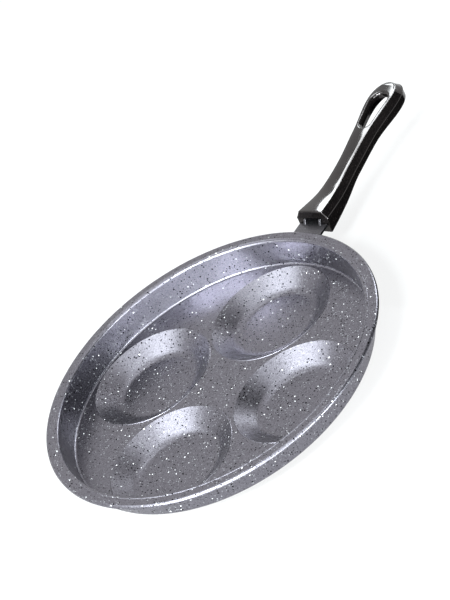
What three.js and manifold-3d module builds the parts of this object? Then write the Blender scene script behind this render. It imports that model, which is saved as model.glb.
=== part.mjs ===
// Four-cup pancake pan: a pressed, stone-coated dish with a moulded handle on a welded bracket.
// Millimetres, +Z up, handle along +X. The origin lies under the middle of the whole object,
// on the surface that the four cups stand on.

import * as THREE from 'three';
import { mergeVertices } from 'three/addons/utils/BufferGeometryUtils.js';
import Module from 'manifold-3d';

// Pressed dish; bends are radii on the upper face of the sheet
const SHEET = 1.2;
const RIM_RADIUS = 130;
const RIM_EDGE_HEIGHT = 2.6; // turned-down outer edge of the rim
const RIM_EDGE_BEND = 2.2;
const WALL_TOP_RADIUS = 120; // inner wall, carried up to the rim's plane
const WALL_FOOT_RADIUS = 117.7; // inner wall, carried down to the floor
const WALL_TOP_BEND = 2;
const WALL_FOOT_BEND = 1.5;
const DISH_DEPTH = 21.2; // rim to floor
const CUP_COUNT = 4;
const CUP_CIRCLE_RADIUS = 68.6; // pan axis to cup axis
const CUP_MOUTH_RADIUS = 46.3; // cup wall, carried up to the floor
const CUP_BASE_RADIUS = 31.5; // cup wall, carried down to the cup's flat base
const CUP_DEPTH = 11;
const CUP_MOUTH_BEND = 3;
const CUP_BASE_BEND = 13;

// Bracket: a saddle welded to the wall, a strap out from it and a channel tongue in the handle
const STRAP = 1.8; // thickness of the bracket's sheet
const STRAP_DROP = 7.2; // rim to the strap's top
const STRAP_WIDTH = 26;
const STRAP_BEND = 3.4;
const SADDLE_WIDTH = 40;
const SADDLE_HEIGHT = 11.5;
const FLARE_LENGTH = 15; // where the strap widens into the saddle
const TONGUE_WIDTH = 16;
const TONGUE_REACH = 23; // into the handle, from the top of its front face
const TONGUE_CORNER = 2;
const CHANNEL_RISE = 3.6; // upturned edges of the tongue
const CHANNEL_LEAD = 2.4; // how far those edges stand out in front of the handle
const WELD_COUNT = 3;
const WELD_PITCH = 12;
const WELD_RADIUS = 2.3;
const WELD_DIMPLE = 0.4;

// Moulded handle. Stations run along X from the top of its front face, tops are above the rim
const HANDLE_STANDOFF = 17.3; // rim edge to the handle
const FRONT_LEAN = 3.2; // how far the front face comes forward at its bottom
const LEAN_FADE = 12;
const FRONT_WIDTH = 30.4;
const FRONT_TOP = 2.1;
const FRONT_DEPTH = 17.2;
const DIP_AT = 25;
const DIP_WIDTH = 23.6;
const DIP_TOP = -0.5;
const DIP_DEPTH = 13.5;
const WAIST_AT = 52;
const WAIST_WIDTH = 20.6;
const WAIST_TOP = 2;
const WAIST_DEPTH = 11;
const SWELL_AT = 82;
const SWELL_WIDTH = 22.6;
const SWELL_TOP = 6.5;
const SWELL_DEPTH = 10.8;
const PALM_AT = 114.5;
const PALM_WIDTH = 30;
const PALM_TOP = 9.8;
const PALM_DEPTH = 12.1;
const TIP_LENGTH = 21; // rounded end, beyond the widest place
const TIP_TOP = 10.4;
const TIP_DEPTH = 11.8;
const TIP_SQUARENESS = 2.2; // 2 is an ellipse in plan, more is squarer
const CROWN = 0.5; // rise of the top face at its middle
const TOP_EASE = 0.8; // eased edge round the top face
const RIDGE_DROP = 5; // top face to the parting ridge
const RIDGE_FLARE = 3.3; // how far the ridge stands out from the top edge
const LOWER_DRAFT = 0.6;
const BOTTOM_EASE = 1.2;
const CORNER_EASE = 0.8; // eased upright corners of the front face
const HOLLOW_AT = 42; // start of the hollowed underside
const HOLLOW_WALL = 2.8;
const HOLLOW_WEB = 4.8; // thickness left under the top face
const HOLE_NEAR_AT = 90.5; // centres of the hanging hole's two ends
const HOLE_FAR_AT = 112.5;
const HOLE_NEAR_RADIUS = 4.8;
const HOLE_FAR_RADIUS = 7.2;
const HOLE_EASE = 2.2; // rounded edge of the hanging hole

// Fastener from below, with its nut in the tongue's channel
const SCREW_AT = 12;
const SCREW_RADIUS = 2.5;
const SCREW_TAIL = 0.3; // thread past the nut
const HEAD_RADIUS = 4.2;
const HEAD_HEIGHT = 2.2;
const DRIVE_WIDTH = 1.1;
const DRIVE_LENGTH = 4.6;
const DRIVE_DEPTH = 1.2;
const WASHER_RADIUS = 4.1;
const WASHER_THICKNESS = 0.8;
const WASHER_SPLIT = 0.8;
const NUT_WIDTH = 8;
const NUT_THICKNESS = 2.7;
const SEAT_WALL = 2; // handle wall between the washer and the socket

// Clearances
const SEAT_GAP = 0.3; // between faces that bear on each other
const SOCKET_GAP = 0.4; // tongue in its socket
const SCREW_GAP = 0.35; // screw in its holes
const HEAD_GAP = 0.6; // screw head in its counterbore
const CUT_OVER = 2; // how far a cut runs past a face

// Facets
const DISH_STEPS = 72;
const CUP_STEPS = 40;
const BEND_STEPS = 3; // at least
const BEND_FACET = 1.5; // length of a facet in a wide bend
const GRIP_STEPS = 16;
const TIP_STEPS = 7;
const HOLE_STEPS = 8;
const SCREW_STEPS = 20;

// Heights and places worked out from the sizes above
const FLOOR = SHEET + CUP_DEPTH;
const RIM = FLOOR + DISH_DEPTH;
const STRAP_TOP = RIM - STRAP_DROP;
const STRAP_BOTTOM = STRAP_TOP - STRAP;
const SADDLE_BOTTOM = STRAP_TOP - SADDLE_HEIGHT;
const SOCKET_TOP = STRAP_TOP + CHANNEL_RISE + SOCKET_GAP;
const SOCKET_BOTTOM = STRAP_BOTTOM - SOCKET_GAP;
const HANDLE_FRONT = RIM_RADIUS + HANDLE_STANDOFF;
const HANDLE_LENGTH = PALM_AT + TIP_LENGTH;
const HANDLE_TIP = HANDLE_FRONT + HANDLE_LENGTH;
const TONGUE_END = HANDLE_FRONT + TONGUE_REACH;
const SCREW_X = HANDLE_FRONT + SCREW_AT;
const SCREW_HOLE_RADIUS = SCREW_RADIUS + SCREW_GAP;
const SEAT = SOCKET_BOTTOM - SEAT_WALL;
const WASHER_BOTTOM = SEAT - SEAT_GAP - WASHER_THICKNESS;
const HEAD_TOP = WASHER_BOTTOM - SEAT_GAP;
const HEAD_BOTTOM = HEAD_TOP - HEAD_HEIGHT;
const NUT_BOTTOM = STRAP_TOP + SEAT_GAP;
const NUT_TOP = NUT_BOTTOM + NUT_THICKNESS;

const GRIP = [
  { at: 0, width: FRONT_WIDTH, top: FRONT_TOP, depth: FRONT_DEPTH },
  { at: DIP_AT, width: DIP_WIDTH, top: DIP_TOP, depth: DIP_DEPTH },
  { at: WAIST_AT, width: WAIST_WIDTH, top: WAIST_TOP, depth: WAIST_DEPTH },
  { at: SWELL_AT, width: SWELL_WIDTH, top: SWELL_TOP, depth: SWELL_DEPTH },
  { at: PALM_AT, width: PALM_WIDTH, top: PALM_TOP, depth: PALM_DEPTH },
  { at: HANDLE_LENGTH, width: 0, top: TIP_TOP, depth: TIP_DEPTH },
];

const wasm = await Module();
wasm.setup();

// A closed geometry as a solid for joining and cutting
function solid(geometry) {
  geometry.deleteAttribute('normal');
  geometry.deleteAttribute('uv');
  const welded = mergeVertices(geometry, 1e-4);
  const corners = welded.index.array;
  const triangles = [];
  for (let i = 0; i < corners.length; i += 3) {
    const [a, b, c] = corners.slice(i, i + 3);
    if (a !== b && b !== c && c !== a) triangles.push(a, b, c);
  }
  return new wasm.Manifold(new wasm.Mesh({
    numProp: 3,
    vertProperties: Float32Array.from(welded.attributes.position.array),
    triVerts: Uint32Array.from(triangles),
  }));
}

function geometryOf(body) {
  const { vertProperties, triVerts } = body.getMesh();
  const geometry = new THREE.BufferGeometry();
  geometry.setAttribute('position', new THREE.BufferAttribute(vertProperties, 3));
  geometry.setIndex(new THREE.BufferAttribute(triVerts, 1));
  geometry.computeVertexNormals();
  return geometry;
}

// Turns a profile of (radius, height) points about a vertical axis at x, y
function revolve(profile, steps, x = 0, y = 0) {
  const geometry = new THREE.LatheGeometry(profile, steps);
  geometry.rotateX(Math.PI / 2);
  geometry.translate(x, y, 0);
  return solid(geometry);
}

function cylinder(radius, bottom, top, x) {
  const profile = [
    new THREE.Vector2(0, bottom),
    new THREE.Vector2(radius, bottom),
    new THREE.Vector2(radius, top),
    new THREE.Vector2(0, top),
  ];
  return revolve(profile, SCREW_STEPS, x);
}

// Clear hole for the screw, run past both faces that it goes through
function screwHole(bottom, top) {
  return cylinder(SCREW_HOLE_RADIUS, bottom - CUT_OVER, top + CUT_OVER, SCREW_X);
}

function box(lowX, highX, width, bottom, top) {
  const geometry = new THREE.BoxGeometry(highX - lowX, width, top - bottom);
  geometry.translate((lowX + highX) / 2, 0, (bottom + top) / 2);
  return solid(geometry);
}

// One face of a bent sheet: a path of corners rounded by its bends, moved to its right by depth
function sheetFace(corners, bends, depth) {
  const headings = corners.slice(1).map((corner, i) => corner.clone().sub(corners[i]).normalize());
  const moved = (point, heading) =>
    new THREE.Vector2(point.x + heading.y * depth, point.y - heading.x * depth);
  const points = [moved(corners[0], headings[0])];
  bends.forEach((bend, i) => {
    const before = headings[i];
    const after = headings[i + 1];
    const turn = Math.atan2(before.cross(after), before.dot(after));
    const side = Math.sign(turn);
    const setback = bend * Math.tan(Math.abs(turn) / 2);
    const start = corners[i + 1].clone().addScaledVector(before, -setback);
    const toCentre = new THREE.Vector2(-before.y, before.x).multiplyScalar(side);
    const centre = start.addScaledVector(toCentre, bend);
    const steps = Math.max(BEND_STEPS, Math.round(bend * Math.abs(turn) / BEND_FACET));
    for (let step = 0; step <= steps; step++) {
      const spoke = toCentre.clone().multiplyScalar(-(bend + side * depth));
      spoke.rotateAround(new THREE.Vector2(), turn * step / steps);
      points.push(spoke.add(centre));
    }
  });
  points.push(moved(corners.at(-1), headings.at(-1)));
  return points;
}

// A closed solid between levels. Each level is one side (y >= 0) of an outline, from its near
// end to its far end, and is mirrored to the other side. Levels go from the top down.
function loft(levels) {
  const side = levels[0].length;
  const around = 2 * side - 1;
  const mirrorOf = (i) => around - 1 - i;
  const positions = levels.flatMap((level) => [
    ...level.flatMap((point) => point.toArray()),
    ...level.slice(0, -1).reverse().flatMap((point) => [point.x, -point.y, point.z]),
  ]);
  const triangles = [];
  for (let k = 0; k + 1 < levels.length; k++) {
    for (let j = 0; j < around; j++) {
      const next = (j + 1) % around;
      const [a, b] = [k * around + j, k * around + next];
      const [d, c] = [a + around, b + around];
      triangles.push(a, b, c, a, c, d);
    }
  }
  const floor = (levels.length - 1) * around;
  for (let i = 0; i + 1 < side; i++) {
    const quad = [i, mirrorOf(i), mirrorOf(i + 1), i + 1];
    triangles.push(quad[0], quad[1], quad[2], quad[0], quad[2], quad[3]);
    const [a, b, c, d] = quad.map((corner) => corner + floor);
    triangles.push(a, c, b, a, d, c);
  }
  const geometry = new THREE.BufferGeometry();
  geometry.setAttribute('position', new THREE.Float32BufferAttribute(positions, 3));
  geometry.setIndex(triangles);
  return solid(geometry);
}

// Pan body: the dish is turned from a bent sheet, and the cups are pressed into its floor
function wallRadius(height) {
  return THREE.MathUtils.mapLinear(height, FLOOR, RIM, WALL_FOOT_RADIUS, WALL_TOP_RADIUS);
}

function dish() {
  const corners = [
    new THREE.Vector2(0, FLOOR),
    new THREE.Vector2(WALL_FOOT_RADIUS, FLOOR),
    new THREE.Vector2(WALL_TOP_RADIUS, RIM),
    new THREE.Vector2(RIM_RADIUS, RIM),
    new THREE.Vector2(RIM_RADIUS, RIM - RIM_EDGE_HEIGHT),
  ];
  const bends = [WALL_FOOT_BEND, WALL_TOP_BEND, RIM_EDGE_BEND];
  const upper = sheetFace(corners, bends, 0);
  const lower = sheetFace(corners, bends, SHEET);
  return revolve([...lower, ...upper.reverse()], DISH_STEPS);
}

function cupProfile(depth, closeAt) {
  const corners = [
    new THREE.Vector2(0, SHEET),
    new THREE.Vector2(CUP_BASE_RADIUS, SHEET),
    new THREE.Vector2(CUP_MOUTH_RADIUS, FLOOR),
    new THREE.Vector2(CUP_MOUTH_RADIUS + CUP_MOUTH_BEND, FLOOR),
  ];
  const face = sheetFace(corners, [CUP_BASE_BEND, CUP_MOUTH_BEND], depth).slice(0, -1);
  return [...face, new THREE.Vector2(face.at(-1).x, closeAt), new THREE.Vector2(0, closeAt)];
}

function panBody() {
  const outside = cupProfile(SHEET, FLOOR - SHEET / 2);
  const inside = cupProfile(0, FLOOR + CUT_OVER);
  let body = dish();
  for (let i = 0; i < CUP_COUNT; i++) {
    const angle = i * 2 * Math.PI / CUP_COUNT;
    const x = CUP_CIRCLE_RADIUS * Math.cos(angle);
    const y = CUP_CIRCLE_RADIUS * Math.sin(angle);
    body = body.add(revolve(outside, CUP_STEPS, x, y)).subtract(revolve(inside, CUP_STEPS, x, y));
  }
  return body;
}

// Bracket
function saddleFaceRadius(height) {
  const slope = (WALL_TOP_RADIUS - WALL_FOOT_RADIUS) / DISH_DEPTH;
  return wallRadius(height) + (SHEET + SEAT_GAP) * Math.hypot(1, slope);
}

function frontFaceX(height) {
  return HANDLE_FRONT - FRONT_LEAN * (RIM + FRONT_TOP - height) / FRONT_DEPTH;
}

function bracketSection() {
  const corners = [
    new THREE.Vector2(saddleFaceRadius(SADDLE_BOTTOM), SADDLE_BOTTOM),
    new THREE.Vector2(saddleFaceRadius(STRAP_TOP), STRAP_TOP),
    new THREE.Vector2(TONGUE_END + TONGUE_WIDTH, STRAP_TOP),
  ];
  const wallSide = sheetFace(corners, [STRAP_BEND], 0);
  const outside = sheetFace(corners, [STRAP_BEND], STRAP);
  const section = [...outside, ...wallSide.reverse()];
  return revolve([...section, section[0]], DISH_STEPS);
}

function bracketOutline() {
  const wallX = Math.sqrt(saddleFaceRadius(STRAP_TOP) ** 2 - (SADDLE_WIDTH / 2) ** 2);
  const flareX = saddleFaceRadius(STRAP_TOP) + FLARE_LENGTH;
  const shoulderX = frontFaceX(STRAP_BOTTOM) - SEAT_GAP;
  const halves = { saddle: SADDLE_WIDTH / 2, strap: STRAP_WIDTH / 2, tongue: TONGUE_WIDTH / 2 };
  const cornerX = TONGUE_END - TONGUE_CORNER;
  const cornerY = halves.tongue - TONGUE_CORNER;
  const outline = new THREE.Shape();
  outline.moveTo(wallX - SADDLE_WIDTH, -halves.saddle);
  outline.lineTo(wallX + STRAP, -halves.saddle);
  outline.quadraticCurveTo(wallX + FLARE_LENGTH / 2, -halves.strap, flareX, -halves.strap);
  outline.lineTo(shoulderX, -halves.strap);
  outline.lineTo(shoulderX, -halves.tongue);
  outline.lineTo(cornerX, -halves.tongue);
  outline.absarc(cornerX, -cornerY, TONGUE_CORNER, -Math.PI / 2, 0);
  outline.absarc(cornerX, cornerY, TONGUE_CORNER, 0, Math.PI / 2);
  outline.lineTo(shoulderX, halves.tongue);
  outline.lineTo(shoulderX, halves.strap);
  outline.lineTo(flareX, halves.strap);
  outline.quadraticCurveTo(wallX + FLARE_LENGTH / 2, halves.strap, wallX + STRAP, halves.saddle);
  outline.lineTo(wallX - SADDLE_WIDTH, halves.saddle);
  const geometry = new THREE.ExtrudeGeometry(outline, {
    depth: SADDLE_HEIGHT + 2 * CUT_OVER,
    bevelEnabled: false,
    curveSegments: 2 * BEND_STEPS,
  });
  geometry.translate(0, 0, SADDLE_BOTTOM - CUT_OVER);
  return solid(geometry);
}

// One upturned edge of the tongue, drawn from the side and given the strap's thickness
function channelEdge(innerY) {
  const startX = frontFaceX(STRAP_TOP) - CHANNEL_LEAD;
  const edge = new THREE.Shape();
  edge.moveTo(startX, STRAP_BOTTOM + STRAP / 2);
  edge.lineTo(TONGUE_END - TONGUE_CORNER, STRAP_BOTTOM + STRAP / 2);
  edge.lineTo(TONGUE_END - TONGUE_CORNER, STRAP_TOP + CHANNEL_RISE);
  edge.lineTo(startX + CHANNEL_LEAD, STRAP_TOP + CHANNEL_RISE);
  edge.lineTo(startX, STRAP_TOP);
  const geometry = new THREE.ExtrudeGeometry(edge, { depth: STRAP, bevelEnabled: false });
  geometry.rotateX(Math.PI / 2);
  geometry.translate(0, innerY + STRAP, 0);
  return solid(geometry);
}

function weldDimple(y) {
  const height = (SADDLE_BOTTOM + STRAP_BOTTOM) / 2;
  const faceX = Math.sqrt((saddleFaceRadius(height) + STRAP) ** 2 - y ** 2);
  const geometry = new THREE.CylinderGeometry(WELD_RADIUS, WELD_RADIUS, 2 * WELD_DIMPLE, SCREW_STEPS);
  geometry.rotateZ(Math.PI / 2);
  geometry.translate(faceX, y, height);
  return solid(geometry);
}

function handleBracket() {
  let body = bracketSection().intersect(bracketOutline());
  body = body.add(channelEdge(TONGUE_WIDTH / 2 - STRAP)).add(channelEdge(-TONGUE_WIDTH / 2));
  body = body.subtract(screwHole(STRAP_BOTTOM, STRAP_TOP));
  for (let i = 0; i < WELD_COUNT; i++) {
    body = body.subtract(weldDimple((i - (WELD_COUNT - 1) / 2) * WELD_PITCH));
  }
  return body;
}

// Handle: a smooth value along the grip, with no overshoot between its stations
function gripValue(x, key) {
  const chord = (i) => (GRIP[i + 1][key] - GRIP[i][key]) / (GRIP[i + 1].at - GRIP[i].at);
  const last = GRIP.length - 1;
  const slope = (i) => {
    if (i === 0) return chord(0);
    if (i === last) return chord(last - 1);
    const [before, after] = [chord(i - 1), chord(i)];
    return before * after > 0 ? 2 * before * after / (before + after) : 0;
  };
  const above = GRIP.findIndex((station) => station.at > x);
  const i = above < 0 ? last - 1 : Math.max(above - 1, 0);
  const span = GRIP[i + 1].at - GRIP[i].at;
  const t = (x - GRIP[i].at) / span;
  const rise = GRIP[i + 1][key] - GRIP[i][key];
  const ease = t * t * (3 - 2 * t);
  const lead = t * (1 - t) * (1 - t) * span * slope(i);
  const trail = t * t * (t - 1) * span * slope(i + 1);
  return GRIP[i][key] + rise * ease + lead + trail;
}

// One side of the grip's outline in plan, moved in from the ridge by inset
function gripOutline(start, inset) {
  const points = [new THREE.Vector2(start, gripValue(start, 'width') / 2 - inset - CORNER_EASE)];
  const first = start + CORNER_EASE;
  for (let i = 0; i < GRIP_STEPS; i++) {
    const x = THREE.MathUtils.lerp(first, PALM_AT, i / GRIP_STEPS);
    points.push(new THREE.Vector2(x, gripValue(x, 'width') / 2 - inset));
  }
  const power = 2 / TIP_SQUARENESS;
  for (let i = 0; i <= TIP_STEPS; i++) {
    const angle = i / TIP_STEPS * Math.PI / 2;
    const along = Math.sin(angle) ** power * (TIP_LENGTH - inset);
    const across = i < TIP_STEPS ? Math.cos(angle) ** power * (PALM_WIDTH / 2 - inset) : 0;
    points.push(new THREE.Vector2(PALM_AT + along, across));
  }
  return points;
}

// A level of the handle: an outline hung below its top curve by drop
function gripLevel(start, inset, drop, narrow = 1) {
  return gripOutline(start, inset).map(({ x, y }) => {
    const fall = drop(x, y);
    const lean = FRONT_LEAN * fall / FRONT_DEPTH * Math.max(0, 1 - x / LEAN_FADE);
    return new THREE.Vector3(HANDLE_FRONT + x - lean, y * narrow, RIM + gripValue(x, 'top') - fall);
  });
}

function gripBody() {
  const depth = (x) => gripValue(x, 'depth');
  const topInset = RIDGE_FLARE + TOP_EASE;
  const crown = (x, y) => -CROWN * Math.min(1, y / (WAIST_WIDTH / 2 - topInset));
  return loft([
    gripLevel(0, topInset, crown, 0.5),
    gripLevel(0, topInset, () => 0),
    gripLevel(0, RIDGE_FLARE, () => TOP_EASE),
    gripLevel(0, 0, () => RIDGE_DROP),
    gripLevel(0, LOWER_DRAFT, (x) => depth(x) - BOTTOM_EASE),
    gripLevel(0, LOWER_DRAFT + BOTTOM_EASE, depth),
  ]);
}

function hollowCut() {
  const inset = LOWER_DRAFT + HOLLOW_WALL;
  return loft([
    gripLevel(HOLLOW_AT, inset + BOTTOM_EASE, () => HOLLOW_WEB),
    gripLevel(HOLLOW_AT, inset, () => HOLLOW_WEB + BOTTOM_EASE),
    gripLevel(HOLLOW_AT, inset, (x) => gripValue(x, 'depth') + CUT_OVER),
  ]);
}

// One side of the hanging hole: two round ends joined by their tangents, all grown by ease
function holeOutline(ease) {
  const tilt = Math.asin((HOLE_FAR_RADIUS - HOLE_NEAR_RADIUS) / (HOLE_FAR_AT - HOLE_NEAR_AT));
  const arc = (centre, radius, from, to) => Array.from({ length: HOLE_STEPS + 1 }, (_, i) => {
    const angle = THREE.MathUtils.lerp(from, to, i / HOLE_STEPS);
    return new THREE.Vector2(centre + radius * Math.cos(angle), radius * Math.max(0, Math.sin(angle)));
  });
  return [
    ...arc(HOLE_NEAR_AT, HOLE_NEAR_RADIUS + ease, Math.PI, Math.PI / 2 + tilt),
    ...arc(HOLE_FAR_AT, HOLE_FAR_RADIUS + ease, Math.PI / 2 + tilt, 0),
  ];
}

// The hole's rounded edge follows the top face, so its upper levels are hung from the top curve
function hangingHoleCut() {
  const level = (ease, drop) => holeOutline(ease).map(({ x, y }) =>
    new THREE.Vector3(HANDLE_FRONT + x, y, RIM + gripValue(x, 'top') - drop));
  const levels = [level(HOLE_EASE, -CUT_OVER)];
  for (let i = 0; i <= BEND_STEPS; i++) {
    const angle = i / BEND_STEPS * Math.PI / 2;
    levels.push(level(HOLE_EASE * (1 - Math.sin(angle)), HOLE_EASE * (1 - Math.cos(angle))));
  }
  levels.push(level(0, PALM_DEPTH + CUT_OVER));
  return loft(levels);
}

function handle() {
  const socketWidth = TONGUE_WIDTH + 2 * SOCKET_GAP;
  const socketFront = HANDLE_FRONT - FRONT_LEAN - CUT_OVER;
  const socket = box(socketFront, TONGUE_END + SOCKET_GAP, socketWidth, SOCKET_BOTTOM, SOCKET_TOP);
  const bottom = RIM + FRONT_TOP - FRONT_DEPTH - CUT_OVER;
  return gripBody()
    .subtract(hollowCut())
    .subtract(hangingHoleCut())
    .subtract(socket)
    .subtract(screwHole(SEAT, SOCKET_BOTTOM))
    .subtract(cylinder(HEAD_RADIUS + HEAD_GAP, bottom, SEAT, SCREW_X));
}

// Fastener
function handleScrew() {
  const shank = cylinder(SCREW_RADIUS, HEAD_TOP - HEAD_HEIGHT / 2, NUT_TOP + SCREW_TAIL, SCREW_X);
  const driveTop = HEAD_BOTTOM + DRIVE_DEPTH;
  const drive = (length, width) =>
    box(SCREW_X - length / 2, SCREW_X + length / 2, width, HEAD_BOTTOM - CUT_OVER, driveTop);
  return cylinder(HEAD_RADIUS, HEAD_BOTTOM, HEAD_TOP, SCREW_X)
    .add(shank)
    .subtract(drive(DRIVE_LENGTH, DRIVE_WIDTH))
    .subtract(drive(DRIVE_WIDTH, DRIVE_LENGTH));
}

function lockWasher() {
  const top = WASHER_BOTTOM + WASHER_THICKNESS;
  const splitEnd = SCREW_X + 2 * WASHER_RADIUS;
  return cylinder(WASHER_RADIUS, WASHER_BOTTOM, top, SCREW_X)
    .subtract(screwHole(WASHER_BOTTOM, top))
    .subtract(box(SCREW_X, splitEnd, WASHER_SPLIT, WASHER_BOTTOM - CUT_OVER, top + CUT_OVER));
}

function tongueNut() {
  const blank = box(SCREW_X - NUT_WIDTH / 2, SCREW_X + NUT_WIDTH / 2, NUT_WIDTH, NUT_BOTTOM, NUT_TOP);
  return blank.subtract(screwHole(NUT_BOTTOM, NUT_TOP));
}

function piece(name, body, look) {
  const mesh = new THREE.Mesh(geometryOf(body), new THREE.MeshStandardMaterial(look));
  mesh.name = name;
  return mesh;
}

const STONE_COAT = { color: '#6b6770', roughness: 0.42, metalness: 0.25 };
const PHENOLIC = { color: '#1b1818', roughness: 0.22, metalness: 0 };
const ZINC_STEEL = { color: '#a9abad', roughness: 0.35, metalness: 1 };

const pan = new THREE.Group();
pan.position.x = (RIM_RADIUS - HANDLE_TIP) / 2;
pan.add(
  piece('pan_body', panBody(), STONE_COAT),
  piece('handle_bracket', handleBracket(), STONE_COAT),
  piece('handle', handle(), PHENOLIC),
  piece('handle_screw', handleScrew(), ZINC_STEEL),
  piece('lock_washer', lockWasher(), ZINC_STEEL),
  piece('tongue_nut', tongueNut(), ZINC_STEEL),
);

export default pan;
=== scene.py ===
import math

import bpy
from mathutils import Matrix, Vector


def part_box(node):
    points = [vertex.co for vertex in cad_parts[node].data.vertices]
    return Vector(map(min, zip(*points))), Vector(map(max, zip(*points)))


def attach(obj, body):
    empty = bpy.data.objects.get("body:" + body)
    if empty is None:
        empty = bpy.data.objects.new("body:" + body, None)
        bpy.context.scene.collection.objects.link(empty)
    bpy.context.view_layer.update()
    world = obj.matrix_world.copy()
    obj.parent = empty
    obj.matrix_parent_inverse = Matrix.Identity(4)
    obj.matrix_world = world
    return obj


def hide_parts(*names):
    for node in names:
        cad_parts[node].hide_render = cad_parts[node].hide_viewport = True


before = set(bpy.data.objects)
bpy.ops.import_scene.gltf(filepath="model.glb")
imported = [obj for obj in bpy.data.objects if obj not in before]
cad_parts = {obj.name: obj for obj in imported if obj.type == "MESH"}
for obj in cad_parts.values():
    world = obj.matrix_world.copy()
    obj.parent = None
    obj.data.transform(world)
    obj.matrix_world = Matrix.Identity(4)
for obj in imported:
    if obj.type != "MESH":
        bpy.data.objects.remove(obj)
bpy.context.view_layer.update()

# The object's sizes are in millimetres.
MM = 0.001
PAN_LOW, PAN_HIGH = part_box("pan_body")
PAN_X = (PAN_LOW.x + PAN_HIGH.x) / 2 / MM
RIM = PAN_HIGH.z / MM

# Clearances
SEAT_GAP = 0.3
SOCKET_GAP = 0.4
SCREW_GAP = 0.35
HEAD_GAP = 0.6
MERGE_GAP = 0.002
CUT_OVER = 2  # how far a cut runs past a face

# Pressed dish
SHEET = 1.2
RIM_RADIUS = 130
RIM_EDGE_HEIGHT = 2.6
RIM_EDGE_BEND = 2.2
RIM_BEAD_RADIUS = 122.4
RIM_BEAD_WIDTH = 1.3
RIM_BEAD_RISE = 0.3
WALL_TOP_RADIUS = 120
WALL_FOOT_RADIUS = 117.7
WALL_TOP_BEND = 2
WALL_FOOT_BEND = 1.5
DISH_DEPTH = 21.2
FLOOR = RIM - DISH_DEPTH
CUP_COUNT = 4
CUP_CIRCLE_RADIUS = 68.6
CUP_MOUTH_RADIUS = 46.3
CUP_BASE_RADIUS = 31.5
CUP_DEPTH = 11
CUP_BASE = FLOOR - CUP_DEPTH
CUP_MOUTH_BEND = 3
CUP_BASE_BEND = 13
LIP_RISE = 0.4
LIP_BEND = 0.25

# Bracket
STRAP = 1.8
STRAP_DROP = 7.2
STRAP_TOP = RIM - STRAP_DROP
STRAP_BOTTOM = STRAP_TOP - STRAP
STRAP_WIDTH = 26
STRAP_BEND = 3.4
STRAP_SPARE = 10  # turned past the tongue's end, then cut off
SADDLE_WIDTH = 40
SADDLE_HEIGHT = 11.5
SADDLE_BOTTOM = STRAP_TOP - SADDLE_HEIGHT
FLARE_LENGTH = 15
TONGUE_WIDTH = 16
TONGUE_REACH = 23
TONGUE_CORNER = 2
CHANNEL_RISE = 3.6
CHANNEL_LEAD = 2.4
CHANNEL_SINK = 1.2  # below the strap's top, so that the edges join it

# Moulded handle
HANDLE_STANDOFF = 17.3
HANDLE_FRONT = PAN_X + RIM_RADIUS + HANDLE_STANDOFF
FRONT_TOP = 2.1
FRONT_DEPTH = 17.2
FRONT_LEAN = 3.2
LEAN_FADE = 12
FRONT_EASE = 0.9
PALM_AT = 114.5
PALM_WIDTH = 30
TIP_LENGTH = 21
TIP_SQUARENESS = 2.2  # 2 is an ellipse in plan, more is squarer
CROWN = 0.5
CROWN_FADE = 6
EASE_FADE = 4
TOP_INSET = 3.93  # ridge to the edge of the top face
TOP_EASE = 0.9
TOP_RIM = 1.2  # flat left beside that edge
RIDGE_DROP = 5
RIDGE_LEDGE = 0.6
LEDGE_RISE = 0.2
LOWER_DRAFT = 0.6
LOWER_EASE = 1.2
FLANK_FOOT = (0.5, 3)  # in from the ridge, up from the bottom
BOTTOM_RIM = 2  # flat beside the bottom edge
HOLLOW_AT = 42
HOLLOW_WALL = 2.8
HOLLOW_WEB = 4.8
HOLLOW_EASE = 1.2
HOLLOW_FLAT = 3
HOLLOW_DRAFT = 0.2
HOLLOW_DEPTH = 9
HOLE_NEAR_AT = 90.5
HOLE_FAR_AT = 112.5
HOLE_NEAR_RADIUS = 4.8
HOLE_FAR_RADIUS = 7.2
HOLE_EASE = 2.2
HOLE_CUT = 18
SOCKET_LEAD = 8  # the socket's cut starts this far in front of the handle

# Stations of the handle: place along it, width at the ridge, top above the rim, depth
WIDTH, TOP, DEPTH = 1, 2, 3
GRIP = (
    (0, 30.4, FRONT_TOP, FRONT_DEPTH),
    (25, 23.6, -0.5, 13.5),
    (52, 20.6, 2, 11),
    (82, 22.6, 6.5, 10.8),
    (PALM_AT, PALM_WIDTH, 9.8, 12.1),
    (PALM_AT + TIP_LENGTH, 0, 10.4, 11.8),
)

# Fastener, driven upwards
SCREW_AT = 12
SCREW_X = HANDLE_FRONT + SCREW_AT
SCREW_RADIUS = 2.5
SCREW_TAIL = 0.3
SCREW_HOLE_RADIUS = SCREW_RADIUS + SCREW_GAP
HEAD_RADIUS = 4.2
HEAD_HEIGHT = 2.2
HEAD_CROWN = ((0, 0), (2.4, 0.06), (3.5, 0.4), (4.05, 0.95), (HEAD_RADIUS, 1.5))
DRIVE_LENGTH = 4.6
DRIVE_WIDTH = 1.1
DRIVE_DEPTH = 1.2
WASHER_RADIUS = 4.1
WASHER_THICKNESS = 0.8
WASHER_SPLIT = 0.8
NUT_WIDTH = 8
NUT_THICKNESS = 2.7
TURNED_EDGE = 0.15
EDGE_EASE = 0.25
SEAT_WALL = 2
SEAT = STRAP_BOTTOM - SOCKET_GAP - SEAT_WALL
COUNTERBORE_RADIUS = HEAD_RADIUS + HEAD_GAP
COUNTERBORE_DROP = 20
COUNTERBORE_BOTTOM = RIM - COUNTERBORE_DROP
WASHER_TOP = SEAT - SEAT_GAP
WASHER_BOTTOM = WASHER_TOP - WASHER_THICKNESS
HEAD_TOP = WASHER_BOTTOM - SEAT_GAP
HEAD_BOTTOM = HEAD_TOP - HEAD_HEIGHT
NUT_BOTTOM = STRAP_TOP + SEAT_GAP
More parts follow.
